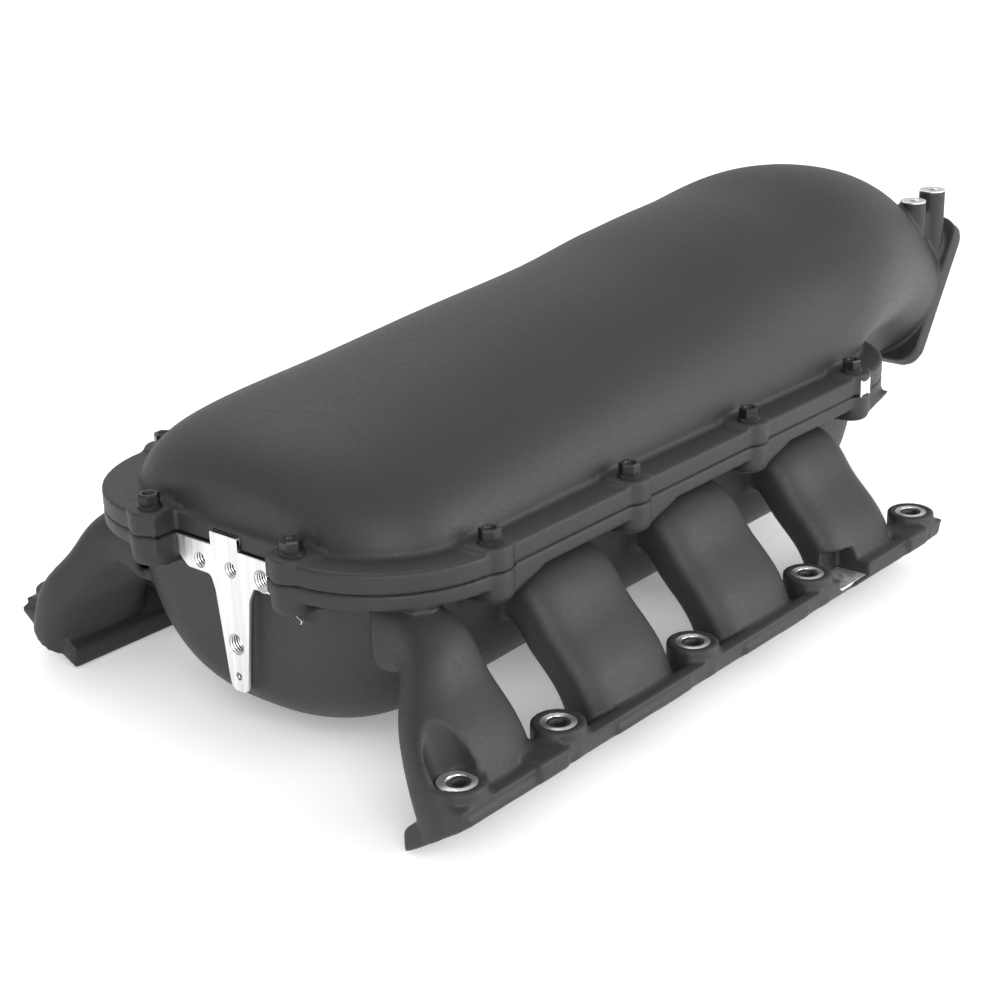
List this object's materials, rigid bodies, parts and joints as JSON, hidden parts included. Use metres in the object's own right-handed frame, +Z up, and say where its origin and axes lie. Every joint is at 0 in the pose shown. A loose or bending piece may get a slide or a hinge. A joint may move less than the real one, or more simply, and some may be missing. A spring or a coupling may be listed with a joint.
{
  "type": "intake manifold",
  "caption": "Two-piece cast intake manifold for a V8: long domed plenum cover bolted to a tub with runners sweeping down to two sloped head flanges, tilted throttle flange in front.",
  "frame": {"origin": "bottom centre of the whole object's box, on the plane of the head flanges' lowest edges", "axes": "+X forward to the throttle, +Y to the left bank, +Z up as fitted on the engine"},
  "size_m": [0.6938, 0.362, 0.2163],
  "materials": {
    "cast_black": "satin black powder coat on cast aluminium, bare machined faces",
    "seal_rubber": "matt",
    "bolt_black": "black oxide",
    "dowel_steel": "ground"
  },
  "bodies": {
    "root": {"cover_bolt_front_1": "bolt_black", "cover_bolt_front_2": "bolt_black", "cover_bolt_left_1": "bolt_black", "cover_bolt_left_2": "bolt_black", "cover_bolt_left_3": "bolt_black", "cover_bolt_left_4": "bolt_black", "cover_bolt_rear_1": "bolt_black", "cover_bolt_rear_2": "bolt_black", "cover_bolt_right_1": "bolt_black", "cover_bolt_right_2": "bolt_black", "cover_bolt_right_3": "bolt_black", "cover_bolt_right_4": "bolt_black", "dowel_front": "dowel_steel", "dowel_rear": "dowel_steel", "lower_base": "cast_black", "plenum_cover": "cast_black", "plenum_seal": "seal_rubber", "port_seal_1": "seal_rubber", "port_seal_2": "seal_rubber", "port_seal_3": "seal_rubber", "port_seal_4": "seal_rubber", "port_seal_5": "seal_rubber", "port_seal_6": "seal_rubber", "port_seal_7": "seal_rubber", "port_seal_8": "seal_rubber", "throttle_seal": "seal_rubber"}
  },
  "joints": []
}
